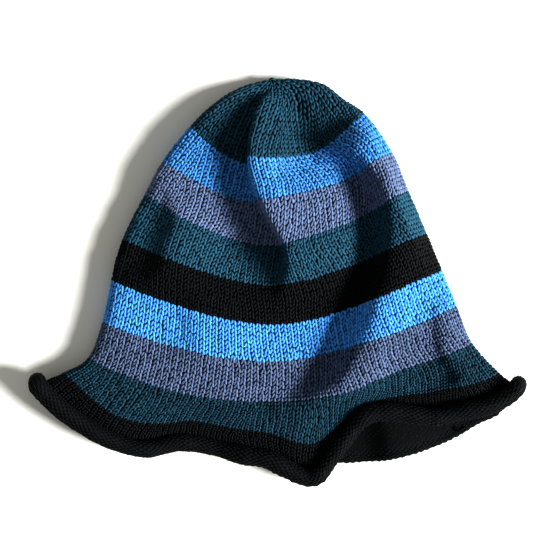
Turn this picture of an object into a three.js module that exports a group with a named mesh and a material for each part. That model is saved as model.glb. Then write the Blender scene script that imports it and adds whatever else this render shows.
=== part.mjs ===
// A knitted striped hat with a soft flared brim, lying flat with its crown towards +Y.
// Millimetres, +Z up. The origin is on the ground under the middle of the hat.
// Each stripe is one ring of knitted fabric around the open hollow for the head.
import * as THREE from 'three';

// Driving sizes
const HAT_LENGTH = 284; // crown tip to the lowest lobe of the brim
const BODY_WIDTH = 230; // flattened body, side to side, where the flare starts
const BRIM_SPREAD = 345; // brim, tip to tip, before the rings are softened
const LAY_HEIGHT = 42; // how high the folds stand above the ground
const WALL = 2.4; // thickness of the knitted fabric
const ROLL_DIAMETER = 12.5; // the curled edge of the brim, round on top of the hat
const ROLL_UNDER = 6.5; // the same edge, pressed flat under the hat
const STRIPE_GAP = 0.4; // between the rings of two stripes

// Knitted rows, counted from the crown tip
const ROWS = 97;
const FLARE_ROW = 78;
const HOLLOW_ROW = 3;

// Mesh density
const FRONT_STEPS = 44;
const BACK_STEPS = 32;
const RING_STEPS = FRONT_STEPS + BACK_STEPS;
const FINE = 3; // fine steps for each step of the mesh
const SOFT_PASSES = 6;
const FRONT_CROWDING = 0.2; // 0 spreads the steps evenly, towards 1 they crowd at the edges
const BACK_CROWDING = 0.65;
const ARC_SAMPLES = 320;
const CURL_STEPS = 9;

// Values that follow from the driving sizes
const BODY_HALF = BODY_WIDTH / 2;
const TIP_ROLL = (ROLL_DIAMETER + ROLL_UNDER) / 2;
const FLARE_REACH = BRIM_SPREAD / 2 - (TIP_ROLL - WALL) - BODY_HALF;
const CURL_LIFT = ROLL_UNDER - WALL;
const NORMAL_STEP = 0.4;
const NORMAL_SPAN = 2;
const BEND_SHARE = 0.5;

// Cross sections, one for each named row of knitting.
// left, right: the side edges, in shares of BODY_HALF; flare: share of FLARE_REACH added
// leftDown, rightDown: how far down the side edges are, in shares of HAT_LENGTH
// frontBow, backBow: how much lower the middle hangs than the edges, in shares of HAT_LENGTH
// bowPower: how square the bow is
// leftHeight, rightHeight, rise: side edges above the ground and front above the edges,
// under: the back above the ground, all four in shares of LAY_HEIGHT
// curl: the back above the ground where the brim curls under, in shares of CURL_LIFT
const SECTIONS = table(
  ['row', 'left', 'right', 'flare', 'leftDown', 'rightDown', 'frontBow', 'backBow', 'bowPower',
    'leftHeight', 'rightHeight', 'rise', 'under', 'curl'],
  [
    [0, 0.033, -0.033, 0, 0.005, 0.005, 0, 0, 2, 0.21, 0.21, 0, 0.21, 0],
    [3, 0.149, 0.094, 0, 0.017, 0.006, 0.025, 0.015, 2, 0.21, 0.21, 0.07, 0.1, 0],
    [7, 0.277, 0.265, 0, 0.039, 0.018, 0.044, 0.025, 2, 0.24, 0.21, 0.14, 0.03, 0],
    [12, 0.399, 0.399, 0, 0.074, 0.057, 0.078, 0.044, 2, 0.26, 0.21, 0.19, 0, 0],
    [19, 0.527, 0.52, 0, 0.126, 0.091, 0.12, 0.064, 2, 0.28, 0.21, 0.24, 0, 0],
    [29, 0.691, 0.691, 0, 0.21, 0.187, 0.121, 0.079, 1.65, 0.26, 0.19, 0.26, 0, 0],
    [39, 0.8, 0.788, 0, 0.291, 0.281, 0.138, 0.094, 1.5, 0.21, 0.19, 0.26, 0, 0],
    [49, 0.934, 0.898, 0, 0.4, 0.385, 0.12, 0.104, 1.4, 0.17, 0.19, 0.29, 0, 0],
    [59, 1, 0.989, 0, 0.498, 0.473, 0.121, 0.113, 1.5, 0.17, 0.19, 0.29, 0, 0],
    [68, 1, 1.02, 0.13, 0.602, 0.562, 0.113, 0.122, 1.6, 0.17, 0.19, 0.29, 0, 0],
    [78, 1, 1.03, 0.32, 0.688, 0.651, 0.123, 0.128, 2.1, 0.19, 0.21, 0.26, 0, 0],
    [88, 1, 1.04, 0.66, 0.725, 0.723, 0.148, 0.13, 2.8, 0.27, 0.27, 0.19, 0, 0.42],
    [97, 1, 1, 1, 0.75, 0.755, 0.182, 0.187, 3.4, 0.3, 0.3, 0.02, 0, 1],
  ],
);

// Folds of the front layer. Each follows a path of [row, side] pairs, where side runs from
// -1 at the left edge to 1 at the right edge, and has a soft bell shape across the path.
// height: share of LAY_HEIGHT; steep, gentle: half widths to the left and the right
// lean: sideways pull, share of BODY_HALF; pull: pull towards the crown, share of HAT_LENGTH
// starts, full, fades, ends: rows between which the fold grows and dies away
const FOLDS = table(
  ['path', 'height', 'steep', 'gentle', 'lean', 'pull', 'starts', 'full', 'fades', 'ends'],
  [
    // sharp fold from the crown tip, and how it draws up the rows to its right
    [[[0, -0.05], [8, -0.27], [19, -0.25], [29, -0.1], [39, 0.1], [50, 0.15]],
      0.43, 0.045, 0.42, -0.035, 0, 1, 19, 40, 56],
    [[[0, -0.05], [8, -0.3], [19, -0.27], [29, -0.09], [39, 0.13]],
      0, 0.045, 0.42, 0, 0.02, 1, 10, 18, 38],
    [[[8, 0.15], [40, 0.3]], 0, 0.3, 0.35, 0, 0.014, 6, 16, 34, 50],
    // valley along the left of the sharp fold, and a dip in the crown on its right
    [[[14, -0.55], [28, -0.4], [40, -0.25], [50, -0.2]],
      -0.12, 0.2, 0.18, 0, 0, 12, 24, 46, 56],
    [[[2, 0.2], [10, 0.3], [24, 0.35]], -0.2, 0.2, 0.4, 0, 0, 2, 9, 16, 30],
    // long ridge down the right side, with the valley on its left
    [[[12, 0.45], [24, 0.78], [36, 0.88], [47, 0.81], [62, 0.565], [74, 0.38], [88, 0.28]],
      0.42, 0.13, 0.3, -0.017, 0.002, 14, 26, 72, 88],
    [[[20, 0.55], [36, 0.7], [50, 0.63], [64, 0.42], [78, 0.24]],
      -0.22, 0.14, 0.12, 0, 0, 20, 32, 64, 84],
    // short crease near the left side, and two soft ones lower down
    [[[34, -0.76], [42, -0.7], [58, -0.64]], 0.19, 0.09, 0.22, -0.01, 0, 33, 41, 50, 61],
    [[[54, -0.44], [74, -0.38]], 0.12, 0.16, 0.3, 0, 0, 48, 58, 66, 80],
    [[[66, 0.93], [80, 0.88], [92, 0.86]], 0.16, 0.05, 0.1, -0.009, 0, 62, 70, 84, 94],
    [[[74, 0.6], [97, 0.6]], -0.12, 0.3, 0.22, 0, 0, 74, 86, 92, 98],
    // the flare swings up on the right before the brim's deep wave, and down on the left
    [[[66, 0.6], [97, 0.66]], 0, 0.22, 0.26, 0, 0.022, 66, 84, 90, 103],
    [[[80, -0.78], [97, -0.72]], 0, 0.14, 0.2, 0, -0.022, 78, 87, 90, 99],
  ],
);

// Waves of the brim, growing from FLARE_ROW to the edge.
// side, steep, gentle: place and half widths, as for the folds
// reach: outwards or inwards, share of HAT_LENGTH; lift: share of LAY_HEIGHT
const FRONT_WAVES = table(
  ['side', 'steep', 'gentle', 'reach', 'lift'],
  [
    [-0.66, 0.2, 0.14, 0.002, 0],
    [-0.4, 0.12, 0.24, -0.036, 0],
    [-0.36, 0.4, 0.42, 0, -0.22],
    [0.055, 0.07, 0.08, 0.022, 0],
    [0.155, 0.08, 0.085, 0.047, -0.08],
    [0.4, 0.14, 0.3, -0.099, 0.06],
    [0.78, 0.1, 0.1, -0.015, 0],
  ],
);
const BACK_WAVES = table(
  ['side', 'steep', 'gentle', 'reach', 'lift'],
  [
    [-0.42, 0.36, 0.36, -0.055, 0],
    [0.48, 0.06, 0.2, 0, 0.15],
    [0.93, 0.06, 0.1, 0.02, 0],
  ],
);
const WAVE_HASTE = 0.2; // 0 lets the waves grow evenly down to the edge

// Shape of the rounded side edges
const FRONT_SHOULDER = 5;
const BACK_SHOULDER = 6;
const BACK_SPREAD = 1.02; // above 1 the back lies flat out to a point nearer its side edges
const EDGE_FADE = 0.1;
const BOW_SOFTNESS = 0.02;
const FOLD_OPENING = 3; // how much wider a fold's steep side gets as the fold dies away

// Yarns
const YARN = {
  teal: { color: 0x1d4a5c, roughness: 0.92, metalness: 0 },
  blue: { color: 0x3f86d8, roughness: 0.9, metalness: 0 },
  slate: { color: 0x585c8c, roughness: 0.92, metalness: 0 },
  black: { color: 0x0d0d10, roughness: 0.95, metalness: 0 },
};

// Stripes of the body, from the crown down; the crown and the brim have functions of their own
const STRIPES = table(
  ['name', 'yarn', 'from', 'to'],
  [
    ['stripe_blue_upper', 'blue', 19, 29],
    ['stripe_slate_upper', 'slate', 29, 39],
    ['stripe_teal_middle', 'teal', 39, 49],
    ['stripe_black', 'black', 49, 59],
    ['stripe_blue_lower', 'blue', 59, 68],
    ['stripe_slate_lower', 'slate', 68, 78],
    ['stripe_teal_lower', 'teal', 78, 88],
  ],
);
const CROWN_ROWS = [1.2, 3, 5, 7.5, 10, 13, 16];
const CROWN_END = 19;
const BRIM_START = 88;
const BRIM_ROWS = [90.5, 92.8];

function table(columns, rows) {
  return rows.map((values) => Object.fromEntries(columns.map((column, i) => [column, values[i]])));
}

function smooth(t) {
  const x = Math.min(Math.max(t, 0), 1);
  return x * x * (3 - 2 * x);
}

function bell(distance, left, right) {
  const width = distance < 0 ? left : right;
  return Math.exp(-((distance / width) ** 2));
}

// Smooth curve through the points (xs, ys), held level past both ends
function through(xs, ys, at) {
  const last = xs.length - 1;
  const x = Math.min(Math.max(at, xs[0]), xs[last]);
  const slope = (i) => (ys[i + 1] - ys[i]) / (xs[i + 1] - xs[i]);
  const tangent = (i) => {
    if (i === 0) return slope(0);
    if (i === last) return slope(last - 1);
    const before = xs[i] - xs[i - 1];
    const after = xs[i + 1] - xs[i];
    return (slope(i - 1) * after + slope(i) * before) / (before + after);
  };
  let i = 0;
  while (i < last - 1 && x >= xs[i + 1]) i += 1;
  const width = xs[i + 1] - xs[i];
  const u = (x - xs[i]) / width;
  const v = 1 - u;
  return ys[i] * (1 + 2 * u) * v * v
    + tangent(i) * width * u * v * v
    + ys[i + 1] * u * u * (1 + 2 * v)
    - tangent(i + 1) * width * u * u * v;
}

// Cross section at any row, in millimetres
function sectionAt(row) {
  const xs = SECTIONS.map((section) => section.row);
  const value = (column) => through(xs, SECTIONS.map((section) => section[column]), row);
  const flare = value('flare') * FLARE_REACH;
  return {
    left: -value('left') * BODY_HALF - flare,
    right: value('right') * BODY_HALF + flare,
    leftDown: value('leftDown') * HAT_LENGTH,
    rightDown: value('rightDown') * HAT_LENGTH,
    frontBow: value('frontBow') * HAT_LENGTH,
    backBow: value('backBow') * HAT_LENGTH,
    bowPower: value('bowPower'),
    leftHeight: value('leftHeight') * LAY_HEIGHT,
    rightHeight: value('rightHeight') * LAY_HEIGHT,
    rise: value('rise') * LAY_HEIGHT,
    under: Math.max(0, value('under') * LAY_HEIGHT) + Math.max(0, value('curl') * CURL_LIFT),
  };
}

// How far the middle of a row hangs below its ends: 1 in the middle, 0 at the edges
function bow(side, power) {
  const level = (squared) => (squared + BOW_SOFTNESS) ** (power / 2);
  return (level(1) - level(side * side)) / (level(1) - level(0));
}

// Flat arch across the row: 1 in the middle, 0 at the edges, upright at the edges
function arch(side, shoulder) {
  return Math.max(0, 1 - Math.abs(side) ** shoulder) ** (1 / shoulder);
}

function addFolds(point, side, row) {
  const fade = smooth((1 - Math.abs(side)) / EDGE_FADE);
  for (const fold of FOLDS) {
    const grow = smooth((row - fold.starts) / (fold.full - fold.starts));
    const die = smooth((fold.ends - row) / (fold.ends - fold.fades));
    if (grow * die === 0) continue;
    const centre = through(fold.path.map((p) => p[0]), fold.path.map((p) => p[1]), row);
    const opening = 1 + FOLD_OPENING * (1 - die);
    const shape = bell(side - centre, fold.steep * opening, fold.gentle);
    const amount = shape * grow * die * fade;
    point.x += fold.lean * BODY_HALF * amount;
    point.y += fold.pull * HAT_LENGTH * amount;
    point.z += fold.height * LAY_HEIGHT * amount;
  }
}

function addWaves(point, waves, side, row) {
  const ripple = Math.min(Math.max((row - FLARE_ROW) / (ROWS - FLARE_ROW), 0), 1);
  const growth = ripple * (1 + WAVE_HASTE * (1 - ripple));
  const fade = smooth((1 - Math.abs(side)) / EDGE_FADE);
  for (const wave of waves) {
    const amount = bell(side - wave.side, wave.steep, wave.gentle) * fade * growth;
    point.y -= wave.reach * HAT_LENGTH * amount;
    point.z += wave.lift * LAY_HEIGHT * amount;
  }
}

function frontPoint(section, side, row) {
  const across = (side + 1) / 2;
  const lerp = THREE.MathUtils.lerp;
  const point = new THREE.Vector3(
    lerp(section.left, section.right, across),
    -lerp(section.leftDown, section.rightDown, across)
      - section.frontBow * bow(side, section.bowPower),
    lerp(section.leftHeight, section.rightHeight, across)
      + section.rise * arch(side, FRONT_SHOULDER),
  );
  addFolds(point, side, row);
  addWaves(point, FRONT_WAVES, side, row);
  return point;
}

function backPoint(section, side, row) {
  const across = (side + 1) / 2;
  const lerp = THREE.MathUtils.lerp;
  const edge = lerp(section.leftHeight, section.rightHeight, across);
  const flatness = Math.min(1, BACK_SPREAD * arch(side, BACK_SHOULDER));
  const point = new THREE.Vector3(
    lerp(section.left, section.right, across),
    -lerp(section.leftDown, section.rightDown, across)
      - section.backBow * bow(side, section.bowPower),
    lerp(edge, Math.min(section.under, edge), flatness),
  );
  addWaves(point, BACK_WAVES, side, row);
  return point;
}

// Points spaced along half a ring, from side -1 to side 1, closer together at the side edges
function spacedSteps(pointAt, steps, crowding) {
  const points = [];
  for (let i = 0; i <= ARC_SAMPLES; i += 1) {
    const t = (2 * i) / ARC_SAMPLES - 1;
    points.push(pointAt(Math.sign(t) * (1 - (1 - Math.abs(t)) ** 2)));
  }
  const run = [0];
  for (let i = 1; i < points.length; i += 1) {
    run.push(run[i - 1] + points[i].distanceTo(points[i - 1]));
  }
  const total = run[run.length - 1];
  const spaced = [];
  let at = 1;
  for (let k = 0; k <= steps; k += 1) {
    const turn = (2 * Math.PI * k) / steps;
    const goal = total * (turn - crowding * Math.sin(turn)) / (2 * Math.PI);
    while (at < ARC_SAMPLES && run[at] < goal) at += 1;
    const share = (goal - run[at - 1]) / (run[at] - run[at - 1]);
    spaced.push(points[at - 1].clone().lerp(points[at], share));
  }
  return spaced;
}

// Knitted fabric bends in soft curves, so each point moves to the mean of its neighbours
function soften(ring) {
  const count = ring.length;
  return ring.map((point, i) => point.clone().multiplyScalar(2)
    .add(ring[(i + 1) % count])
    .add(ring[(i + count - 1) % count])
    .divideScalar(4));
}

// One closed ring of the outer face: the front from left to right, then the back again
const ringCache = new Map();
function ringAt(row) {
  if (!ringCache.has(row)) {
    const section = sectionAt(row);
    const frontAt = (side) => frontPoint(section, side, row);
    const backAt = (side) => backPoint(section, side, row);
    const front = spacedSteps(frontAt, FRONT_STEPS * FINE, FRONT_CROWDING);
    const back = spacedSteps(backAt, BACK_STEPS * FINE, BACK_CROWDING);
    let ring = [...front.slice(0, -1), ...back.reverse().slice(0, -1)];
    for (let pass = 0; pass < SOFT_PASSES; pass += 1) ring = soften(ring);
    ringCache.set(row, ring.filter((point, i) => i % FINE === 0));
  }
  return ringCache.get(row);
}

// Outward normal, direction towards the brim and fabric depth, at each point of a ring.
// The direction is averaged over its neighbours, so that it stays even across a sharp fold.
function framesAt(row) {
  const here = ringAt(row);
  const above = ringAt(Math.max(row - NORMAL_STEP, 0));
  const below = ringAt(Math.min(row + NORMAL_STEP, ROWS));
  const wrap = (j) => (j + RING_STEPS) % RING_STEPS;
  return here.map((point, j) => {
    const next = here[wrap(j + 1)];
    const previous = here[wrap(j - 1)];
    const around = next.clone().sub(previous).normalize();
    const down = new THREE.Vector3();
    for (let k = j - NORMAL_SPAN; k <= j + NORMAL_SPAN; k += 1) {
      down.add(below[wrap(k)]).sub(above[wrap(k)]);
    }
    const normal = down.cross(around).normalize();
    const outwards = around.clone().cross(normal);
    return { point, normal, outwards, depth: fabricDepth(previous, point, next) };
  });
}

// The fabric is squeezed where it bends more sharply than its own thickness allows
function fabricDepth(previous, point, next) {
  const before = point.clone().sub(previous);
  const after = next.clone().sub(point);
  const bendRadius = (before.length() + after.length()) / 2 / before.angleTo(after);
  return Math.min(WALL, bendRadius * BEND_SHARE);
}

// Rings of the two faces. The shift moves a ring along the fabric, towards the brim.
function outerRing(row, shift = 0) {
  return framesAt(row).map(({ point, outwards }) => point.clone()
    .addScaledVector(outwards, shift));
}

function innerRing(row, shift = 0) {
  return framesAt(row).map(({ point, normal, outwards, depth }) => point.clone()
    .addScaledVector(outwards, shift)
    .addScaledVector(normal, -depth));
}

function rollRadius(normal) {
  return THREE.MathUtils.lerp(ROLL_UNDER, ROLL_DIAMETER, smooth((normal.z + 1) / 2)) / 2;
}

// Rings around the curled edge, from the outer face over the top and under to the inner face
function curlRings() {
  const frames = framesAt(ROWS);
  const rings = [];
  for (let k = 0; k <= CURL_STEPS; k += 1) {
    rings.push(frames.map(({ point, normal, outwards }) => {
      const radius = rollRadius(normal);
      const rise = radius - WALL;
      const start = Math.PI + Math.asin(rise / radius);
      const angle = start - (start + Math.PI / 2) * (k / CURL_STEPS);
      return point.clone()
        .addScaledVector(outwards, radius * Math.cos(angle))
        .addScaledVector(normal, rise + radius * Math.sin(angle));
    }));
  }
  return rings;
}

function centreOf(ring) {
  const sum = ring.reduce((total, point) => total.add(point), new THREE.Vector3());
  return sum.divideScalar(ring.length);
}

// Closed body through a list of rings. Without poles the last ring joins the first again.
function loft(rings, poles = []) {
  const positions = [];
  const index = [];
  for (const ring of rings) {
    for (const point of ring) positions.push(point.x, point.y, point.z);
  }
  const joined = poles.length === 0 ? rings.length : rings.length - 1;
  for (let i = 0; i < joined; i += 1) {
    const upper = i * RING_STEPS;
    const lower = ((i + 1) % rings.length) * RING_STEPS;
    for (let j = 0; j < RING_STEPS; j += 1) {
      const next = (j + 1) % RING_STEPS;
      index.push(upper + j, lower + j, lower + next);
      index.push(upper + j, lower + next, upper + next);
    }
  }
  poles.forEach((pole, end) => {
    const centre = positions.length / 3;
    const base = end === 0 ? 0 : (rings.length - 1) * RING_STEPS;
    positions.push(pole.x, pole.y, pole.z);
    for (let j = 0; j < RING_STEPS; j += 1) {
      const next = (j + 1) % RING_STEPS;
      if (end === 0) index.push(centre, base + j, base + next);
      else index.push(centre, base + next, base + j);
    }
  });
  const geometry = new THREE.BufferGeometry();
  geometry.setAttribute('position', new THREE.Float32BufferAttribute(positions, 3));
  geometry.setIndex(index);
  geometry.computeVertexNormals();
  return geometry;
}

function crownGeometry() {
  const tip = frontPoint(sectionAt(0), 0, 0);
  const outer = CROWN_ROWS.map((row) => outerRing(row));
  const inner = CROWN_ROWS.filter((row) => row >= HOLLOW_ROW).map((row) => innerRing(row));
  return loft([
    ...outer,
    outerRing(CROWN_END, -STRIPE_GAP / 2),
    innerRing(CROWN_END, -STRIPE_GAP / 2),
    ...inner.reverse(),
  ], [tip, centreOf(inner.at(-1))]);
}

function stripeGeometry(from, to) {
  const middle = (from + to) / 2;
  return loft([
    outerRing(from, STRIPE_GAP / 2),
    outerRing(middle),
    outerRing(to, -STRIPE_GAP / 2),
    innerRing(to, -STRIPE_GAP / 2),
    innerRing(middle),
    innerRing(from, STRIPE_GAP / 2),
  ]);
}

function brimGeometry() {
  const outer = BRIM_ROWS.map((row) => outerRing(row));
  const inner = BRIM_ROWS.map((row) => innerRing(row));
  return loft([
    outerRing(BRIM_START, STRIPE_GAP / 2),
    ...outer,
    ...curlRings(),
    ...inner.reverse(),
    innerRing(BRIM_START, STRIPE_GAP / 2),
  ]);
}

function yarnMesh(name, yarn, geometry) {
  const mesh = new THREE.Mesh(geometry, new THREE.MeshStandardMaterial(YARN[yarn]));
  mesh.name = name;
  return mesh;
}

function knittedHat() {
  const hat = new THREE.Group();
  hat.add(yarnMesh('crown_teal', 'teal', crownGeometry()));
  for (const { name, yarn, from, to } of STRIPES) {
    hat.add(yarnMesh(name, yarn, stripeGeometry(from, to)));
  }
  hat.add(yarnMesh('brim_black', 'black', brimGeometry()));
  const box = new THREE.Box3().setFromObject(hat);
  const middle = box.getCenter(new THREE.Vector3());
  hat.position.set(-middle.x, -middle.y, -box.min.z);
  return hat;
}

const group = knittedHat();
export default group;
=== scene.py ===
"""A knitted striped hat lying flat on a pale table, seen from straight above."""

import math

import bpy
import numpy as np
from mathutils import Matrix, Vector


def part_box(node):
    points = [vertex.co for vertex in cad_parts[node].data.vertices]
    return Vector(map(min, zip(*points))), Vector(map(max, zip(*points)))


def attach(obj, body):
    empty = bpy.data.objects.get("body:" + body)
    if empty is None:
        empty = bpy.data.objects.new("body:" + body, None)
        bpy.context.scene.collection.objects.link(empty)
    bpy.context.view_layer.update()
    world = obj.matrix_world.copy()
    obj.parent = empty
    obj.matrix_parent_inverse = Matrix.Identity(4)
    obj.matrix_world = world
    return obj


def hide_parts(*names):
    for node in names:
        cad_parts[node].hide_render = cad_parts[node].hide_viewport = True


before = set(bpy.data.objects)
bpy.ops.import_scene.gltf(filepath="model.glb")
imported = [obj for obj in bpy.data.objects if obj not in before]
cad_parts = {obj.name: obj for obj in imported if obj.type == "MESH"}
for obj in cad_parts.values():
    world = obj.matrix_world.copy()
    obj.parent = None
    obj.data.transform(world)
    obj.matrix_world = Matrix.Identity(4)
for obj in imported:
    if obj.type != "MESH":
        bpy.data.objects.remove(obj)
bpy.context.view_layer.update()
random = np.random.default_rng(7)

# Driving sizes in millimetres, as in the part
HAT_LENGTH = 284.0
BODY_HALF = 115.0
BRIM_SPREAD = 345.0
LAY_HEIGHT = 42.0
WALL = 2.4
ROLL_DIAMETER = 12.5
ROLL_UNDER = 6.5
TIP_ROLL = (ROLL_DIAMETER + ROLL_UNDER) / 2
CURL_LIFT = ROLL_UNDER - WALL
FLARE_REACH = BRIM_SPREAD / 2 - (TIP_ROLL - WALL) - BODY_HALF
ROWS = 97
FLARE_ROW = 78
HOLLOW_ROW = 3
MM = 0.001

# Cross sections by row of knitting, in shares of the sizes above
SECTIONS = {
    "row": [0, 3, 7, 12, 19, 29, 39, 49, 59, 68, 78, 88, 97],
    "left": [0.033, 0.149, 0.277, 0.399, 0.527, 0.691, 0.8, 0.934, 1, 1, 1, 1, 1],
    "right": [-0.033, 0.094, 0.265, 0.399, 0.52, 0.691, 0.788, 0.898, 0.989, 1.02, 1.03, 1.04, 1],
    "flare": [0, 0, 0, 0, 0, 0, 0, 0, 0, 0.13, 0.32, 0.66, 1],
    "left_down": [0.005, 0.017, 0.039, 0.074, 0.126, 0.21, 0.291, 0.4, 0.498, 0.602, 0.688,
                  0.725, 0.75],
    "right_down": [0.005, 0.006, 0.018, 0.057, 0.091, 0.187, 0.281, 0.385, 0.473, 0.562, 0.651,
                   0.723, 0.755],
    "front_bow": [0, 0.025, 0.044, 0.078, 0.12, 0.121, 0.138, 0.12, 0.121, 0.113, 0.123, 0.148, 0.182],
    "back_bow": [0, 0.015, 0.025, 0.044, 0.064, 0.079, 0.094, 0.104, 0.113, 0.122, 0.128, 0.13, 0.187],
    "bow_power": [2, 2, 2, 2, 2, 1.65, 1.5, 1.4, 1.5, 1.6, 2.1, 2.8, 3.4],
    "left_height": [0.21, 0.21, 0.24, 0.26, 0.28, 0.26, 0.21, 0.17, 0.17, 0.17, 0.19, 0.27, 0.3],
    "right_height": [0.21, 0.21, 0.21, 0.21, 0.21, 0.19, 0.19, 0.19, 0.19, 0.19, 0.21, 0.27, 0.3],
    "rise": [0, 0.07, 0.14, 0.19, 0.24, 0.26, 0.26, 0.29, 0.29, 0.29, 0.26, 0.19, 0.02],
    "under": [0.21, 0.1, 0.03, 0, 0, 0, 0, 0, 0, 0, 0, 0, 0],
    "curl": [0, 0, 0, 0, 0, 0, 0, 0, 0, 0, 0, 0.42, 1],
}

# Folds: path as (rows, sides), height, steep, gentle, lean, pull, starts, full, fades, ends
FOLDS = [
    (((0, 8, 19, 29, 39, 50), (-0.05, -0.27, -0.25, -0.1, 0.1, 0.15)),
     0.43, 0.045, 0.42, -0.035, 0, 1, 19, 40, 56),
    (((0, 8, 19, 29, 39), (-0.05, -0.3, -0.27, -0.09, 0.13)),
     0, 0.045, 0.42, 0, 0.02, 1, 10, 18, 38),
    (((14, 28, 40, 50), (-0.55, -0.4, -0.25, -0.2)), -0.12, 0.2, 0.18, 0, 0, 12, 24, 46, 56),
    (((8, 40), (0.15, 0.3)), 0, 0.3, 0.35, 0, 0.014, 6, 16, 34, 50),
    (((2, 10, 24), (0.2, 0.3, 0.35)), -0.2, 0.2, 0.4, 0, 0, 2, 9, 16, 30),
    (((12, 24, 36, 47, 62, 74, 88), (0.45, 0.78, 0.88, 0.81, 0.565, 0.38, 0.28)),
     0.42, 0.13, 0.3, -0.017, 0.002, 14, 26, 72, 88),
    (((20, 36, 50, 64, 78), (0.55, 0.7, 0.63, 0.42, 0.24)),
     -0.22, 0.14, 0.12, 0, 0, 20, 32, 64, 84),
    (((34, 42, 58), (-0.76, -0.7, -0.64)), 0.19, 0.09, 0.22, -0.01, 0, 33, 41, 50, 61),
    (((54, 74), (-0.44, -0.38)), 0.12, 0.16, 0.3, 0, 0, 48, 58, 66, 80),
    (((66, 80, 92), (0.93, 0.88, 0.86)), 0.16, 0.05, 0.1, -0.009, 0, 62, 70, 84, 94),
    (((74, 97), (0.6, 0.6)), -0.12, 0.3, 0.22, 0, 0, 74, 86, 92, 98),
    (((66, 97), (0.6, 0.66)), 0, 0.22, 0.26, 0, 0.022, 66, 84, 90, 103),
    (((80, 97), (-0.78, -0.72)), 0, 0.14, 0.2, 0, -0.022, 78, 87, 90, 99),
]
FOLD_OPENING = 3

# Brim waves: side, steep, gentle, reach, lift
FRONT_WAVES = [
    (-0.66, 0.2, 0.14, 0.002, 0),
    (-0.4, 0.12, 0.24, -0.036, 0),
    (-0.36, 0.4, 0.42, 0, -0.22),
    (0.055, 0.07, 0.08, 0.022, 0),
    (0.155, 0.08, 0.085, 0.047, -0.08),
    (0.4, 0.14, 0.3, -0.099, 0.06),
    (0.78, 0.1, 0.1, -0.015, 0),
]
BACK_WAVES = [
    (-0.42, 0.36, 0.36, -0.055, 0),
    (0.48, 0.06, 0.2, 0, 0.15),
    (0.93, 0.06, 0.1, 0.02, 0),
]

# Shape of the rounded side edges, and how early the waves grow
FRONT_SHOULDER = 5
BACK_SHOULDER = 6
BACK_SPREAD = 1.02
EDGE_FADE = 0.1
BOW_SOFTNESS = 0.02
WAVE_HASTE = 0.2

# Stripes from the crown down: node, yarn, first row, last row, and painted shade: how much paler than
# its yarn the stripe is coloured, the negative values darkening it for the shade it lies in
STRIPES = [
    ("crown_teal", "teal", 0, 19, -0.4),
    ("stripe_blue_upper", "blue", 19, 29, -0.5),
    ("stripe_slate_upper", "slate", 29, 39, -0.1),
    ("stripe_teal_middle", "teal", 39, 49, 0.0),
    ("stripe_black", "black", 49, 59, 0.0),
    ("stripe_blue_lower", "blue", 59, 68, 0.0),
    ("stripe_slate_lower", "slate", 68, 78, -0.55),
    ("stripe_teal_lower", "teal", 78, 88, -0.8),
    ("brim_black", "black", 88, 97, 0.0),
]

# Columns of stitches round the hat: row at which the number changes, new number
COLUMNS = [(0, 8), (2, 16), (4, 24), (6, 32), (8, 40), (10, 48), (12, 56), (14, 64), (17, 72),
           (21, 80), (26, 88), (31, 96), (37, 104), (44, 112), (54, 120), (67, 128), (80, 144),
           (84, 156), (90, 168)]
SETTLE = 0.4  # share of the way each column moves to its even place in one row
COLUMN_JITTER = 0.05  # how far stitches stray, in shares of a column and of a row
ROW_JITTER = 0.07

# Fine surface of the fabric
GRID_ROW = 0.25
ARC_SAMPLES = 1201
FRONT_POINTS = 520
BACK_POINTS = 440
NORMAL_SPAN = 6  # points to each side over which a normal's direction is averaged
SOFT_SPREAD = 2.6  # mm over which the fabric smooths its own bends

# Swells of the fabric: seed, cells round the hat and cells down it
FINE_SWELL = (11, 70, 36)
BROAD_SWELL = (12, 26, 14)
ROLL_SWELL = (13, 38, 1)
ROLL_KNOBS = (14, 84, 1)
FINE_SWELL_HEIGHT = 0.42
BROAD_SWELL_HEIGHT = 0.85
SWELL_ROWS = 12  # rows from the crown's tip over which the swells grow
ROLL_SWELL_SHARE = 0.08

# Rows past the last go round the curled edge
ROW_LENGTH = 2.93
CURL_ROW_ANGLE = 2 * ROW_LENGTH / ROLL_DIAMETER
CURL_START = -90.0
CURL_TUCK = 215.0
CAST_OFF_ANGLE = 6.0
TUCK_ROW = 95.2
CURL_SHELL = 0.45  # how deep the curl's shell lies under its purl bumps, mm
CURL_FIRST = 0.1  # rows from the last knit row to the first purl bumps of the curl
CURL_MARGIN = 0.6  # rows left free at the tucked end of the curl
CURL_COLUMN_JITTER = 0.04
CURL_ROW_JITTER = 0.06
BEAD_STEPS = 16

# Yarn, in millimetres
STRAND_DEPTH = 0.55  # how deep a strand's middle line lies under the face it shows on
SHELL_DEPTH = 1.0
SHELL_POINTS = 240
BRIM_POINTS = 280
EDGE_SWING = 0.06  # how strongly the brim's points crowd where its edge swings round
SEAM_GAP = 0.07  # rows left free at each end of a stripe's cloth
LEG_DEPTH = 0.8
LEG_LIFT = 0.35
BUMP_DEPTH = 0.5
BUMP_LIFT = 0.3

# Legs of a knit stitch: start and end as (share of a column, share of a row), and the painted
# shade or painted light of the leg: the left leg darker and the right one paler, as a lamp on the
# right falls on them
LEGS = [((-0.08, -0.28), (-0.42, 1.0), -0.9), ((0.16, -0.22), (0.32, 1.12), 0.3)]
LEG_HALF = 0.235

# Bumps of a purl stitch, in the same shares
BUMPS = [((-0.40, 0.15), (0.40, 0.15)), ((0.10, 0.65), (0.90, 0.65))]
BUMP_HALF = 0.23

# Two strands of each link of the cast off chain, in the same shares
CHAIN = [((-0.55, -0.05), (0.45, -0.32)), ((-0.55, 0.05), (0.45, 0.32))]
CHAIN_HALF = 0.17
CHAIN_DEPTH = 0.6
CHAIN_LIFT = 0.5

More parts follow.
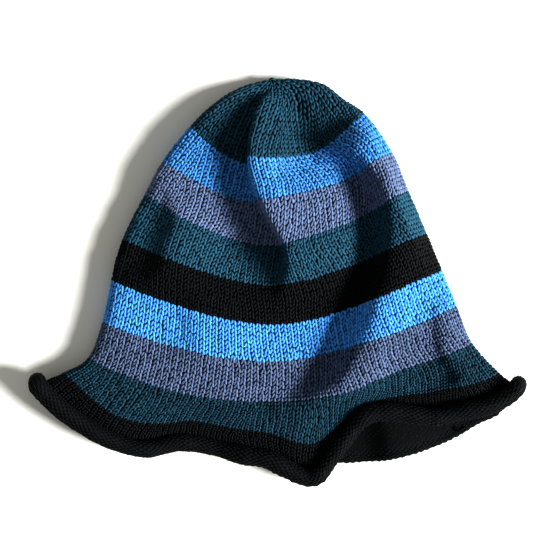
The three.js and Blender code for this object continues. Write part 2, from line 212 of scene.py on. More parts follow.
STRAND_TONE = 0.35  # share of the tone that differs from strand to strand; the rest is painted shade, darker on each strand's underside and ends
TONE_SPREAD = 0.55
LIFT_SPREAD = 0.5
STRAND_TAPER = 0.6
PURL_START = 84  # first row whose purl side shows in the open mouth
LEVEL_LIMIT = -0.35  # stitches that face further down than this can't be seen from above

# Sides and rings of a strand
LEG_FINE = (6, 4)
LEG_COARSE = (4, 3)
BRIM_LEG_FINE = (5, 3)
BRIM_LEG_COARSE = (4, 2)
CURL_BUMP = (4, 2)
MOUTH_BUMP = (5, 2)
HIDDEN_BUMP = (3, 2)
CHAIN_LINK = (4, 3)

# Loose yarn, in millimetres; the places are measured from the crown's tip
YARN_RADIUS = 0.9
YARN_TAPER = 0.3
NUB_ROW = 1
NUB_RADIUS = 2.0
NUB_NARROWING = 0.45
NUB_TURNS = 2.5
NUB_RISE = 0.8
NUB_POINTS = 40
LOOP_PLACE = (127.8, -245.0)
LOOP_SIZE = 3.2
LOOP_HEIGHT = 1.2
LOOP_OVERLAP = 0.4  # radians past a half turn at each end
LOOP_POINTS = 24
LOOP_YARN = 0.7  # thickness, share of YARN_RADIUS
KNOT_PLACE = (164.0, -227.0)
KNOT_SHIFT = (0, -2.0, 1.0)
KNOT_SIZE = (1.3, 1.1, 0.8)
KNOT_TURNS = 2.2
KNOT_TRAVEL = 0.12  # sideways, for each radian
KNOT_POINTS = 36
KNOT_YARN = 0.8

# Yarn colours, linear
YARNS = {
    "teal": (0.0185, 0.071, 0.108),
    "blue": (0.078, 0.28, 0.67),
    "slate": (0.108, 0.148, 0.248),
    "black": (0.004, 0.0052, 0.0062),
}
YARN_DARKEST = 0.28  # shares of the yarn's colour at both ends of its tones
YARN_LIGHTEST = 1.65
TONE_SHARE = 0.4
MOTTLE_SCALE = 700
FIBRE_SCALE = 2600
FIBRE_RELIEF = 0.00025
YARN_ROUGHNESS = 0.75
YARN_SHINE = 0.2

# Table, light and camera
FLOOR_COLOUR = (0.88, 0.88, 0.84, 1)
FLOOR_ROUGHNESS = 0.9
FLOOR_SIZE = 3.0
FLOOR_CLEARANCE = 0.0003  # between the table and the yarn that lies on it, in metres
LAMP_ENERGY = 6.6
LAMP_SPREAD = 18
LAMP_COLOUR = (1, 1, 1)
LAMP_AZIMUTH = -14
LAMP_ELEVATION = 29
ROOM_COLOUR = (1, 0.99, 0.95, 1)
ROOM_STRENGTH = 0.3
SENSOR = 36.0
CAMERA_HEIGHT = 1.0
VIEW_WIDTH = 0.39
VIEW_CENTRE = (0.7, -140.4)

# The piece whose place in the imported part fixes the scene's origin
ANCHOR = "stripe_black"
ANCHOR_MARGIN = 0.1
ANCHOR_SAMPLES = (30, 900)


def smooth(t):
    """Soft step from 0 to 1."""
    x = np.clip(t, 0, 1)
    return x * x * (3 - 2 * x)


def bell(distance, left, right):
    """Bell with a half width of its own on each side."""
    width = np.where(distance < 0, left, right)
    return np.exp(-((distance / width) ** 2))


def through(xs, ys, at):
    """Smooth curve through the points (xs, ys), held level past both ends."""
    xs = np.asarray(xs, float)
    ys = np.asarray(ys, float)
    steps = np.diff(xs)
    slopes = np.diff(ys) / steps
    tangents = np.empty_like(ys)
    tangents[0] = slopes[0]
    tangents[-1] = slopes[-1]
    tangents[1:-1] = (slopes[:-1] * steps[1:] + slopes[1:] * steps[:-1]) / (steps[1:] + steps[:-1])
    x = np.clip(at, xs[0], xs[-1])
    i = np.clip(np.searchsorted(xs, x, side="right") - 1, 0, len(xs) - 2)
    width = steps[i]
    u = (x - xs[i]) / width
    v = 1 - u
    return (ys[i] * (1 + 2 * u) * v * v + tangents[i] * width * u * v * v
            + ys[i + 1] * u * u * (1 + 2 * v) - tangents[i + 1] * width * u * u * v)


def section(rows):
    """Cross section at any rows, in millimetres."""
    value = {name: through(SECTIONS["row"], column, rows) for name, column in SECTIONS.items()}
    flare = value["flare"] * FLARE_REACH
    value["left"] = -value["left"] * BODY_HALF - flare
    value["right"] = value["right"] * BODY_HALF + flare
    for name in ("left_down", "right_down", "front_bow", "back_bow"):
        value[name] = value[name] * HAT_LENGTH
    for name in ("left_height", "right_height", "rise"):
        value[name] = value[name] * LAY_HEIGHT
    value["under"] = (np.maximum(0, value["under"] * LAY_HEIGHT)
                      + np.maximum(0, value["curl"] * CURL_LIFT))
    return value


def bow(side, power):
    """How far the middle of a row hangs below its ends: 1 in the middle, 0 at the edges."""
    def level(squared):
        return (squared + BOW_SOFTNESS) ** (power / 2)
    return (level(1) - level(side * side)) / (level(1) - level(0))


def arch(side, shoulder):
    """Flat arch across the row, upright at the edges."""
    return np.maximum(0, 1 - np.abs(side) ** shoulder) ** (1 / shoulder)


def add_folds(x, y, z, side, rows):
    fade = smooth((1 - np.abs(side)) / EDGE_FADE)
    for path, height, steep, gentle, lean, pull, starts, full, fades, ends in FOLDS:
        grow = smooth((rows - starts) / (full - starts))
        die = smooth((ends - rows) / (ends - fades))
        centre = through(path[0], path[1], rows)
        opening = 1 + FOLD_OPENING * (1 - die)
        amount = bell(side - centre, steep * opening, gentle) * grow * die * fade
        x = x + lean * BODY_HALF * amount
        y = y + pull * HAT_LENGTH * amount
        z = z + height * LAY_HEIGHT * amount
    return x, y, z


def add_waves(y, z, waves, side, rows):
    ripple = np.clip((rows - FLARE_ROW) / (ROWS - FLARE_ROW), 0, 1)
    fade = smooth((1 - np.abs(side)) / EDGE_FADE) * ripple * (1 + WAVE_HASTE * (1 - ripple))
    for place, steep, gentle, reach, lift in waves:
        amount = bell(side - place, steep, gentle) * fade
        y = y - reach * HAT_LENGTH * amount
        z = z + lift * LAY_HEIGHT * amount
    return y, z


def layer(rows, side, front):
    """Points of the front or back layer, for a column of rows and a line of sides."""
    value = section(rows)
    across = (side + 1) / 2

    def lerp(a, b):
        return a + (b - a) * across
    depth = value["front_bow"] if front else value["back_bow"]
    x = lerp(value["left"], value["right"])
    y = -lerp(value["left_down"], value["right_down"]) - depth * bow(side, value["bow_power"])
    edge = lerp(value["left_height"], value["right_height"])
    if front:
        z = edge + value["rise"] * arch(side, FRONT_SHOULDER)
        x, y, z = add_folds(x, y, z, side, rows)
        y, z = add_waves(y, z, FRONT_WAVES, side, rows)
    else:
        flat = np.minimum(1, BACK_SPREAD * arch(side, BACK_SHOULDER))
        z = edge + (np.minimum(value["under"], edge) - edge) * flat
        y, z = add_waves(y, z, BACK_WAVES, side, rows)
    return np.stack([x, y, z], -1)


def even_points(points, count):
    """Each row of points again, evenly spaced along its length."""
    out = np.empty((len(points), count, 3))
    for i, line in enumerate(points):
        run = np.r_[0, np.cumsum(np.linalg.norm(np.diff(line, axis=0), axis=1))]
        if run[-1] < 1e-9:
            out[i] = line[0]
            continue
        goal = np.linspace(0, run[-1], count)
        for axis in range(3):
            out[i, :, axis] = np.interp(goal, run, line[:, axis])
    return out


def soften(rings, lengths):
    """Smooth each closed ring over SOFT_SPREAD millimetres."""
    count = rings.shape[1]
    cycles = np.fft.fftfreq(count)[None, :] * count
    spread = SOFT_SPREAD / np.maximum(lengths, 1e-6)[:, None]
    keep = np.exp(-0.5 * (2 * math.pi * cycles * spread) ** 2)
    return np.real(np.fft.ifft(np.fft.fft(rings, axis=1) * keep[:, :, None], axis=1))


def fine_rings():
    """Closed rings of the outer face, evenly spaced round the hat from its left edge."""
    rows = np.arange(0, ROWS + GRID_ROW / 2, GRID_ROW)
    t = np.linspace(-1, 1, ARC_SAMPLES)
    side = np.sign(t) * (1 - (1 - np.abs(t)) ** 2)
    front = even_points(layer(rows[:, None], side[None, :], True), FRONT_POINTS + 1)
    back = even_points(layer(rows[:, None], side[None, :], False), BACK_POINTS + 1)
    rings = np.concatenate([front[:, :-1], back[:, :0:-1]], axis=1)
    closed = np.concatenate([rings, rings[:, :1]], axis=1)
    rings = even_points(closed, FRONT_POINTS + BACK_POINTS + 1)[:, :-1]
    lengths = np.linalg.norm(np.diff(closed, axis=1), axis=2).sum(1)
    return rows, soften(rings, lengths), lengths


def value_noise(seed, size_u, size_v):
    """Smooth seeded noise on a closed strip, returned as a function of turn and row share."""
    values = np.random.default_rng(seed).uniform(-1, 1, (size_v + 1, size_u))

    def at(turn, share):
        a = (turn % 1) * size_u
        b = np.clip(share, 0, 0.9999) * size_v
        i = np.floor(a).astype(int)
        j = np.floor(b).astype(int)
        u = smooth(a - i)
        v = smooth(b - j)
        upper = values[j, i % size_u] * (1 - u) + values[j, (i + 1) % size_u] * u
        lower = values[j + 1, i % size_u] * (1 - u) + values[j + 1, (i + 1) % size_u] * u
        return upper * (1 - v) + lower * v
    return at


class Fabric:
    """The hat's faces as smooth surfaces over (turn, row), with their normals."""

    def __init__(self):
        self.rows, self.rings, self.lengths = fine_rings()
        count = self.rings.shape[1]
        turn = np.arange(count)[None, :] / count
        share = self.rows[:, None] / ROWS
        self.normals = self.find_normals(self.rings)
        fine = value_noise(*FINE_SWELL)(turn, share) * FINE_SWELL_HEIGHT
        broad = value_noise(*BROAD_SWELL)(turn, share) * BROAD_SWELL_HEIGHT
        size = smooth(self.rows / SWELL_ROWS)[:, None]
        upward = smooth(self.normals[..., 2] / 0.5)
        swell = ((fine + broad) * size * upward)[..., None]
        self.rings = self.rings + self.normals * swell
        self.normals = self.find_normals(self.rings)
        self.plump = value_noise(*ROLL_SWELL)
        self.knobs = value_noise(*ROLL_KNOBS)

    def find_normals(self, rings):
        """Outward normals, with the direction down the hat averaged over near points."""
        around = np.roll(rings, -2, axis=1) - np.roll(rings, 2, axis=1)
        down = np.gradient(rings, axis=0)
        down = sum(np.roll(down, k, axis=1) for k in range(-NORMAL_SPAN, NORMAL_SPAN + 1))
        normals = np.cross(down, around)
        normals /= np.maximum(np.linalg.norm(normals, axis=2, keepdims=True), 1e-9)
        return normals

    def sample(self, grid, turn, row):
        """Values of a grid over rows and points, read between its nodes."""
        count = grid.shape[1]
        a = (turn % 1) * count
        b = np.clip(row / GRID_ROW, 0, len(self.rows) - 1.0001)
        i = np.floor(a).astype(int)
        j = np.floor(b).astype(int)
        u = (a - i)[..., None]
        v = (b - j)[..., None]
        i %= count
        k = (i + 1) % count
        upper = grid[j, i] * (1 - u) + grid[j, k] * u
        lower = grid[j + 1, i] * (1 - u) + grid[j + 1, k] * u
        return upper * (1 - v) + lower * v

    def normal(self, turn, row):
        normal = self.sample(self.normals, turn, row)
        return normal / np.maximum(np.linalg.norm(normal, axis=-1, keepdims=True), 1e-9)

    def outside(self, turn, row, height):
        """Points at a height in millimetres above the knit side."""
        turn, row, height = np.broadcast_arrays(turn, row, height)
        return self.sample(self.rings, turn, row) + self.normal(turn, row) * height[..., None]

    def inside(self, turn, row, height):
        """Points at a height in millimetres above the purl side, in the hollow."""
        return self.outside(turn, row, -WALL - np.asarray(height))

    def curl(self, turn, row, height):
        """Points at a height above the purl side, where it goes round the curled edge."""
        turn, row, height = np.broadcast_arrays(turn, row, height)
        last = np.full(turn.shape, float(ROWS))
        point = self.sample(self.rings, turn, last)
        normal = self.normal(turn, last)
        step = 1.5 / self.rings.shape[1]
        ahead = self.sample(self.rings, turn + step, last)
        around = ahead - self.sample(self.rings, turn - step, last)
        outwards = np.cross(around, normal)
        outwards /= np.maximum(np.linalg.norm(outwards, axis=-1, keepdims=True), 1e-9)
        angle = math.radians(CURL_START) + (row - ROWS) * CURL_ROW_ANGLE
        radius = roll_radius(normal)
        edge = np.zeros(turn.shape)
        plump = self.plump(turn, edge) + self.knobs(turn, edge)
        swell = 1 + ROLL_SWELL_SHARE * plump * smooth(np.sin(angle) + 0.6)
        centre = point + normal * (radius - WALL)[..., None]
        along = outwards * np.cos(angle)[..., None] + normal * np.sin(angle)[..., None]
        return centre + along * (radius * swell + height)[..., None]

    def spot(self, x, y, facing):
        """Nearest (turn, row) to a place seen from above, on the face that looks that way."""
        far = np.hypot(self.rings[..., 0] - x, self.rings[..., 1] - y)
        far[self.normals[..., 2] * facing <= 0.2] = np.inf
        j, i = np.unravel_index(np.argmin(far), far.shape)
        return i / self.rings.shape[1], self.rows[j]


def roll_radius(normal):
    """The curled edge is round on top of the hat and pressed flat underneath."""
    return ROLL_UNDER / 2 + (ROLL_DIAMETER - ROLL_UNDER) / 2 * smooth((normal[..., 2] + 1) / 2)


def curl_row(angle):
    """Row at an angle in degrees round the curled edge."""
    return ROWS + np.radians(angle - CURL_START) / CURL_ROW_ANGLE


def column_places():
    """Centres of the stitch columns in turns, for each row, with each column's width."""
    changes = dict(COLUMNS)
    places = []
    current = None
    for row in range(ROWS + 1):
        if row in changes:
            count = changes[row]
            target = (np.arange(count) + 0.5) / count
            if current is None:
                current = target.copy()
            else:
                current = split_columns(current, count)
        target = (np.arange(len(current)) + 0.5) / len(current)
        current = current + (target - current) * SETTLE
        places.append(current.copy())
    return places


def split_columns(current, count):
    """Some columns, evenly spread, become two."""
    old = len(current)
    extra = count - old
    chosen = set(((np.arange(extra) + 0.5) * old / extra).astype(int))
    spacing = 1 / old
    fresh = []
    for k, place in enumerate(current):
        if k in chosen:
            fresh += [place - spacing / 4, place + spacing / 4]
        else:
            fresh.append(place)
    return np.array(fresh)


class Batch:
    """Collects vertices, faces and a tone for each vertex, for one joined mesh."""

    def __init__(self):
        self.points = []
        self.quads = []
        self.tris = []
        self.tones = []
        self.count = 0

    def add(self, points, quads, tris, tones):
        self.points.append(points)
        self.tones.append(tones)
        self.quads.append(np.asarray(quads, int).reshape(-1, 4) + self.count)
        self.tris.append(np.asarray(tris, int).reshape(-1, 3) + self.count)
        self.count += len(points)

    def build(self, name, material, painted_shade):
        points = np.concatenate(self.points) * MM + SHIFT
        points[:, 2] = np.maximum(points[:, 2], 0)
        quads = np.concatenate(self.quads)
        tris = np.concatenate(self.tris)
        mesh = bpy.data.meshes.new(name)
        mesh.vertices.add(len(points))
        mesh.vertices.foreach_set("co", points.ravel())
        loops = np.concatenate([quads.ravel(), tris.ravel()])
        sizes = np.concatenate([np.full(len(quads), 4), np.full(len(tris), 3)])
        starts = np.concatenate([[0], np.cumsum(sizes)[:-1]])
        mesh.loops.add(len(loops))
        mesh.loops.foreach_set("vertex_index", loops)
        mesh.polygons.add(len(sizes))
        mesh.polygons.foreach_set("loop_start", starts)
        mesh.polygons.foreach_set("loop_total", sizes)
        mesh.polygons.foreach_set("use_smooth", np.ones(len(sizes), bool))
        tone = mesh.attributes.new("tone", "FLOAT", "POINT")
        # The stripe's own value shifts every tone of the mesh: painted shade that darkens the whole
        # stripe.
        tone.data.foreach_set("value", np.concatenate(self.tones) + painted_shade)
        mesh.update(calc_edges=True)
        mesh.materials.append(material)
        piece = bpy.data.objects.new(name, mesh)
        bpy.context.scene.collection.objects.link(piece)
        print(name, "triangles", 2 * len(quads) + len(tris))
        return piece


def tube_faces(sides, rings, copies):
    """Faces of many closed tubes of the same make: rings of vertices, then two poles."""
    quads = []
    for i in range(rings - 1):
        for j in range(sides):
            k = (j + 1) % sides
            quads.append([i * sides + j, i * sides + k, (i + 1) * sides + k, (i + 1) * sides + j])
    first = rings * sides
    last = first - sides
    tris = [[first, (j + 1) % sides, j] for j in range(sides)]
    tris += [[first + 1, last + j, last + (j + 1) % sides] for j in range(sides)]
    step = first + 2
    offsets = np.arange(copies)[:, None, None] * step
    return np.array(quads)[None] + offsets, np.array(tris)[None] + offsets, step


def taper(along, power):
    """Thickness along a strand that is narrow at both ends."""
    return np.sin(math.pi * (0.12 + 0.76 * along)) ** power


def strands(batch, surface, start, end, half, depth, lift, sides, rings, tone):
    """Plump closed strands on a surface. start, end and half hold a (turn, row) for each
    strand: its two ends and its half width. depth and lift are in millimetres."""
    copies = len(start)
    along = (np.arange(rings) + 0.5) / rings
    thick = taper(along, STRAND_TAPER)
    angle = (np.arange(sides) + 0.5) * 2 * math.pi / sides
    path = start[:, None, :] + (end - start)[:, None, :] * along[None, :, None]
    across = thick[:, None] * np.cos(angle)[None, :]
    place = path[:, :, None, :] + half[:, None, None, :] * across[None, :, :, None]
    raised = lift[:, None] * np.sin(math.pi * along)[None, :] - STRAND_DEPTH
    height = raised[:, :, None] + depth * thick[None, :, None] * np.sin(angle)[None, None, :]
    body = surface(place[..., 0], place[..., 1], height).reshape(copies, rings * sides, 3)
    ends = np.stack([start, end], axis=1)
    poles = surface(ends[..., 0], ends[..., 1], np.full((copies, 2), -STRAND_DEPTH - depth / 2))
    points = np.concatenate([body, poles], axis=1).reshape(-1, 3)
    quads, tris, step = tube_faces(sides, rings, copies)
    # Painted shade: each strand darker on its underside and at its two ends, paler on top.
    hollow = np.append(np.tile(np.sin(angle), rings), [-1, -1])
    shade = STRAND_TONE * tone[:, None] + (1 - STRAND_TONE) * hollow[None, :]
    batch.add(points, quads, tris, shade.ravel())


def loft(batch, rings, poles, tone):
    """A closed skin over rings of points: a tube with two poles, or else a ring of rings."""
    count, sides = rings.shape[:2]
    steps = count - 1 if poles is not None else count
    i = np.arange(steps)[:, None]
    j = np.arange(sides)[None, :]
    k = (j + 1) % sides
    below = (i + 1) % count
    corners = [i * sides + j, below * sides + j, below * sides + k, i * sides + k]
    quads = np.stack(np.broadcast_arrays(*corners), axis=-1)
    points = rings.reshape(-1, 3)
    tris = []
    if poles is not None:
        top = count * sides
        base = top - sides
        tris = [[top, a, (a + 1) % sides] for a in range(sides)]
        tris += [[top + 1, base + (a + 1) % sides, base + a] for a in range(sides)]
        points = np.concatenate([points, poles])
    batch.add(points, quads, tris, np.full(len(points), tone))


def free_yarn(batch, line, radius, sides, tone):
    """One strand of yarn along a line of points in millimetres."""
    ahead = np.gradient(line, axis=0)
    ahead /= np.linalg.norm(ahead, axis=1, keepdims=True)
    width = np.cross([0.05, 0.1, 1.0], ahead)
    width /= np.linalg.norm(width, axis=1, keepdims=True)
    upright = np.cross(ahead, width)
    angle = (np.arange(sides) + 0.5) * 2 * math.pi / sides
    thick = radius * taper(np.linspace(0, 1, len(line)), YARN_TAPER)
    ring = (width[:, None, :] * np.cos(angle)[None, :, None]
            + upright[:, None, :] * np.sin(angle)[None, :, None])
    body = line[:, None, :] + ring * thick[:, None, None]
    poles = line[[0, -1]] + ahead[[0, -1]] * radius * np.array([[-0.5], [0.5]])
    points = np.concatenate([body.reshape(-1, 3), poles])
    quads, tris, step = tube_faces(sides, len(line), 1)
    batch.add(points, quads, tris, np.full(step, tone))


def stitch_places(first, last):
    """Centre of every stitch in a run of rows, as (turn, row), with its column's width."""
    centres = []
    widths = []
    for row in range(first, last):
        column = PLACES[row]
        spacing = (np.roll(column, -1) - np.roll(column, 1)) % 1 / 2
        centres.append(np.stack([column, np.full(len(column), float(row))], axis=1))
        widths.append(spacing)
    centres = np.concatenate(centres)
    widths = np.concatenate(widths)
    centres[:, 0] += random.normal(0, COLUMN_JITTER, len(widths)) * widths
    centres[:, 1] += random.normal(0, ROW_JITTER, len(widths))
    return centres, widths


def lay_strands(batch, surface, centres, widths, shares, half, depth, lift, mesh, painted_light=0):
    """The same strand for every stitch, from its start and end in shares of the stitch. mesh
    holds the sides and rings of the strand."""
    (start_turn, start_row), (end_turn, end_row) = shares
    unit = np.stack([widths, np.ones(len(widths))], axis=1)
    start = centres + unit * [start_turn, start_row]
    end = centres + unit * [end_turn, end_row]
    lifts = lift * random.uniform(1 - LIFT_SPREAD, 1 + LIFT_SPREAD, len(widths))
    # A leg's painted shade or painted light shifts the tone of every strand laid here.
    tone = painted_light + random.normal(0, TONE_SPREAD, len(widths)).clip(-1, 1)
    strands(batch, surface, start, end, unit * half, depth, lifts, *mesh, tone)


def knit(batch, first, last, fine, coarse):
    """The two legs of every knit stitch, finer where they can be seen from above."""
    centres, widths = stitch_places(first, last)
    upward = FABRIC.normal(centres[:, 0], centres[:, 1])[:, 2] > LEVEL_LIMIT
    for chosen, mesh in ((upward, fine), (~upward, coarse)):
        # Each leg gets its painted shade or painted light from LEGS.
        for start, end, painted_light in LEGS:
            lay_strands(batch, FABRIC.outside, centres[chosen], widths[chosen], (start, end),
                        (LEG_HALF, 0), LEG_DEPTH, LEG_LIFT, mesh, painted_light)


def purl(batch, surface, centres, widths, mesh):
    """The two bumps of every purl stitch."""
    for bump in BUMPS:
        lay_strands(batch, surface, centres, widths, bump,
                    (0, BUMP_HALF), BUMP_DEPTH, BUMP_LIFT, mesh)


def shell(batch, first, last):
    """The cloth under the stitches of one stripe, a closed wall."""
    turn = np.arange(SHELL_POINTS) / SHELL_POINTS
    rows = np.linspace(first, last, round(last - first) + 1)
    rows[0] += SEAM_GAP
    rows[-1] -= SEAM_GAP
    outer = FABRIC.outside(turn[None, :], rows[:, None], -SHELL_DEPTH)
    inner = FABRIC.inside(turn[None, :], rows[::-1, None], 0)
    # The cloth takes the darkest tone: painted shade in the gaps between the stitches.
    loft(batch, np.concatenate([outer, inner]), None, -1)


def crown_shell(batch, last):
    """The crown's cloth, closed at the tip on both faces."""
    turn = np.arange(SHELL_POINTS) / SHELL_POINTS
    rows = np.arange(1.0, last + 1)
    rows[-1] -= SEAM_GAP
    hollow = rows[rows > HOLLOW_ROW][::-1]
    outer = FABRIC.outside(turn[None, :], rows[:, None], -SHELL_DEPTH)
    inner = FABRIC.inside(turn[None, :], hollow[:, None], 0)
    poles = np.stack([FABRIC.rings[0].mean(0), inner[-1].mean(0)])
    # The cloth takes the darkest tone: painted shade in the gaps between the stitches.
    loft(batch, np.concatenate([outer, inner]), poles, -1)


def edge_turns():
    """Turns round the brim's edge, closer together where it swings round sharply."""
    turn = np.linspace(0, 1, 8 * BRIM_POINTS)
    normal = FABRIC.normal(turn, np.full(len(turn), float(ROWS)))
    swing = np.linalg.norm(np.diff(normal, axis=0), axis=1)
    run = np.r_[0, np.cumsum(np.diff(turn) + EDGE_SWING * swing)]
    return np.interp(np.arange(BRIM_POINTS) / BRIM_POINTS * run[-1], run, turn)


def brim_shell(batch, first):
    """The brim's cloth, whose edge is one closed bead with the wall."""
    turn = edge_turns()
    rows = np.append(np.arange(first + SEAM_GAP, TUCK_ROW), TUCK_ROW)
    outer = FABRIC.outside(turn[None, :], rows[:, None], -SHELL_DEPTH)
    bead_rows = curl_row(np.linspace(CURL_TUCK, CURL_START, BEAD_STEPS))
    bead = FABRIC.curl(turn[None, :], bead_rows[:, None], -CURL_SHELL)
    inner = FABRIC.inside(turn[None, :], rows[::-1, None], 0)
    # The cloth takes the darkest tone: painted shade in the gaps between the stitches.
    loft(batch, np.concatenate([outer, bead, inner]), None, -1)


def curl_purl(batch):
    """Purl bumps all round the curled edge, with the cast off chain laid over them."""
    centres, widths = stitch_places(ROWS - 1, ROWS)
    for row in np.arange(ROWS + CURL_FIRST, curl_row(CURL_TUCK) - CURL_MARGIN):
        line = np.stack([centres[:, 0], np.full(len(widths), row)], axis=1)
        line[:, 0] += random.normal(0, CURL_COLUMN_JITTER, len(widths)) * widths
        line[:, 1] += random.normal(0, CURL_ROW_JITTER, len(widths))
        purl(batch, FABRIC.curl, line, widths, CURL_BUMP)
    chain = np.stack([centres[:, 0], np.full(len(widths), curl_row(CAST_OFF_ANGLE))], axis=1)
    for shares in CHAIN:
        lay_strands(batch, FABRIC.curl, chain, widths, shares,
                    (0, CHAIN_HALF), CHAIN_DEPTH, CHAIN_LIFT, CHAIN_LINK)


def inner_purl(batch, first, last):
    """Purl bumps inside the hat, where the open mouth shows them."""
    centres, widths = stitch_places(first, last)
    upward = FABRIC.normal(centres[:, 0], centres[:, 1])[:, 2] < 0
    purl(batch, FABRIC.inside, centres[upward], widths[upward], MOUTH_BUMP)
    purl(batch, FABRIC.inside, centres[~upward], widths[~upward], HIDDEN_BUMP)


def crown_nub(batch):
    """The first stitches, drawn together in a small knot at the tip."""
    tip = FABRIC.rings[round(NUB_ROW / GRID_ROW)].mean(0)
    angle = np.linspace(0, 2 * math.pi * NUB_TURNS, NUB_POINTS)
    radius = NUB_RADIUS * (1 - NUB_NARROWING * angle / angle[-1])
    line = np.stack([tip[0] + radius * np.cos(angle),
                     tip[1] + NUB_RISE * angle / angle[-1] + 0.4 * radius * np.sin(angle),
                     tip[2] + radius * np.sin(angle)], axis=1)
    free_yarn(batch, line, YARN_RADIUS, 8, 0.2)


def loose_loop(batch):
    """A slack loop of the last row on the purl side."""
    turn, row = FABRIC.spot(*LOOP_PLACE, -1)
    middle = FABRIC.inside(turn, row, 1.0)
    angle = np.linspace(-LOOP_OVERLAP, math.pi + LOOP_OVERLAP, LOOP_POINTS)
    line = middle + np.stack([LOOP_SIZE * np.cos(angle), -LOOP_SIZE * 0.8 * np.sin(angle),
                              LOOP_HEIGHT * np.sin(angle)], axis=1)
    free_yarn(batch, line, YARN_RADIUS * LOOP_YARN, 6, 0.6)


def yarn_end(batch):
    """The cut end of the yarn, knotted at the edge of the brim."""
    turn, row = FABRIC.spot(*KNOT_PLACE, -1)
    middle = FABRIC.inside(turn, row, 0.5) + KNOT_SHIFT
    angle = np.linspace(0, 2 * math.pi * KNOT_TURNS, KNOT_POINTS)
    wide, deep, high = KNOT_SIZE
    line = middle + np.stack([wide * np.cos(angle) + KNOT_TRAVEL * angle, deep * np.sin(angle),
                              high * np.sin(angle / 2)], axis=1)
    free_yarn(batch, line, YARN_RADIUS * KNOT_YARN, 6, 0.2)


def socket(node, name, value):
    """Sets one input of a node, by name or number."""
    node.inputs[name].default_value = value


def yarn_material(name, colour):
    """Matt fibrous yarn, each strand a little paler or darker than the next; its tone attribute also
    carries painted shade and painted lamplight.
    """
    material = bpy.data.materials.new("yarn_" + name)
    material.use_nodes = True
    nodes = material.node_tree.nodes
    link = material.node_tree.links.new
    surface = nodes["Principled BSDF"]
    place = nodes.new("ShaderNodeTexCoord")
    tone = nodes.new("ShaderNodeAttribute")
    tone.attribute_name = "tone"
    mottle = nodes.new("ShaderNodeTexNoise")
    socket(mottle, "Scale", MOTTLE_SCALE)
    socket(mottle, "Detail", 4)
    fibre = nodes.new("ShaderNodeTexNoise")
    socket(fibre, "Scale", FIBRE_SCALE)
    socket(fibre, "Detail", 3)
    shade = nodes.new("ShaderNodeMath")
    shade.operation = "MULTIPLY_ADD"
    socket(shade, 1, TONE_SHARE)
    ramp = nodes.new("ShaderNodeMix")
    ramp.data_type = "RGBA"
    socket(ramp, 6, (*[c * YARN_DARKEST for c in colour], 1))
    socket(ramp, 7, (*[min(1, c * YARN_LIGHTEST) for c in colour], 1))
    bump = nodes.new("ShaderNodeBump")
    socket(bump, "Strength", 0.5)
    socket(bump, "Distance", FIBRE_RELIEF)
    link(place.outputs["Object"], mottle.inputs["Vector"])
    link(place.outputs["Object"], fibre.inputs["Vector"])
    link(tone.outputs["Fac"], shade.inputs[0])
    link(mottle.outputs["Fac"], shade.inputs[2])
    link(shade.outputs[0], ramp.inputs[0])
    link(ramp.outputs[2], surface.inputs["Base Color"])
    link(fibre.outputs["Fac"], bump.inputs["Height"])
    link(bump.outputs["Normal"], surface.inputs["Normal"])
    socket(surface, "Roughness", YARN_ROUGHNESS)
    socket(surface, "Specular IOR Level", YARN_SHINE)
    return material


def add_floor():
    """The table top."""
    mesh = bpy.data.meshes.new("floor")
    signs = ((-1, -1), (1, -1), (1, 1), (-1, 1))
    corners = [(x * FLOOR_SIZE, y * FLOOR_SIZE, -FLOOR_CLEARANCE) for x, y in signs]
    mesh.from_pydata(corners, [], [(0, 1, 2, 3)])
    material = bpy.data.materials.new("floor")
    material.use_nodes = True
    surface = material.node_tree.nodes["Principled BSDF"]
    socket(surface, "Base Color", FLOOR_COLOUR)
    socket(surface, "Roughness", FLOOR_ROUGHNESS)
    mesh.materials.append(material)
    floor = bpy.data.objects.new("floor", mesh)
    bpy.context.scene.collection.objects.link(floor)


def add_lights():
    """One broad lamp low on the right, and a pale room."""
    lamp = bpy.data.lights.new("lamp", "SUN")
    lamp.energy = LAMP_ENERGY
    lamp.angle = math.radians(LAMP_SPREAD)
    lamp.color = LAMP_COLOUR
    holder = bpy.data.objects.new("lamp", lamp)
    holder.rotation_euler = (0, math.radians(90 - LAMP_ELEVATION), math.radians(LAMP_AZIMUTH))
    bpy.context.scene.collection.objects.link(holder)
    world = bpy.data.worlds.new("room")
    world.use_nodes = True
    background = world.node_tree.nodes["Background"]
    socket(background, "Color", ROOM_COLOUR)
    socket(background, "Strength", ROOM_STRENGTH)
    bpy.context.scene.world = world


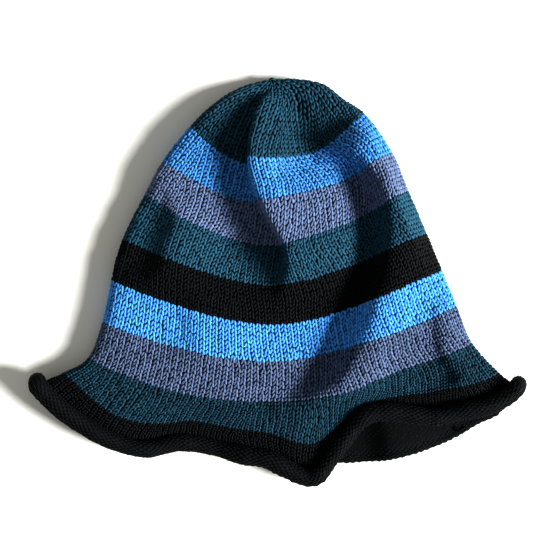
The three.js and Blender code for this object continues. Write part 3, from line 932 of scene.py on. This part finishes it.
def add_camera():
    """Straight above the hat, as in the photo."""
    lens = bpy.data.cameras.new("camera")
    lens.sensor_width = SENSOR
    lens.lens = SENSOR * CAMERA_HEIGHT / VIEW_WIDTH
    holder = bpy.data.objects.new("camera", lens)
    across, up = VIEW_CENTRE
    holder.location = (SHIFT[0] + across * MM, SHIFT[1] + up * MM, CAMERA_HEIGHT)
    bpy.context.scene.collection.objects.link(holder)
    bpy.context.scene.camera = holder
    bpy.context.scene.view_settings.view_transform = "Standard"
    bpy.context.scene.view_settings.look = "High Contrast"


def find_shift():
    """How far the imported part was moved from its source's own origin, in metres."""
    first, last = next((start, end) for name, _, start, end, _ in STRIPES if name == ANCHOR)
    down, around = ANCHOR_SAMPLES
    rows = np.linspace(first + ANCHOR_MARGIN, last - ANCHOR_MARGIN, down)
    cloth = FABRIC.outside(np.linspace(0, 1, around)[None, :], rows[:, None], 0)
    cloth = cloth.reshape(-1, 3) * MM
    low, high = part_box(ANCHOR)
    centre = (np.array(low) + np.array(high) - cloth.min(0) - cloth.max(0)) / 2
    return np.array([centre[0], centre[1], low[2] - cloth[:, 2].min()])


def dress(name, yarn, first, last, painted_shade):
    """One stripe's cloth and stitches, in place of its solid."""
    batch = Batch()
    if name == "crown_teal":
        crown_shell(batch, last)
        knit(batch, 1, last, LEG_FINE, LEG_COARSE)
        crown_nub(batch)
    elif name == "brim_black":
        brim_shell(batch, first)
        knit(batch, first, last - 1, BRIM_LEG_FINE, BRIM_LEG_COARSE)
        curl_purl(batch)
        inner_purl(batch, first, last)
        loose_loop(batch)
        yarn_end(batch)
    else:
        shell(batch, first, last)
        knit(batch, first, last, LEG_FINE, LEG_COARSE)
        if last > PURL_START:
            inner_purl(batch, PURL_START, last)
    # The last value darkens this stripe's whole colour: painted shade for the shade it lies in.
    piece = batch.build(name + "_knit", MATERIALS[yarn], painted_shade)
    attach(piece, "root")
    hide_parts(name)


FABRIC = Fabric()
PLACES = column_places()
SHIFT = find_shift()
MATERIALS = {name: yarn_material(name, colour) for name, colour in YARNS.items()}
for stripe in STRIPES:
    dress(*stripe)
add_floor()
add_lights()
add_camera()
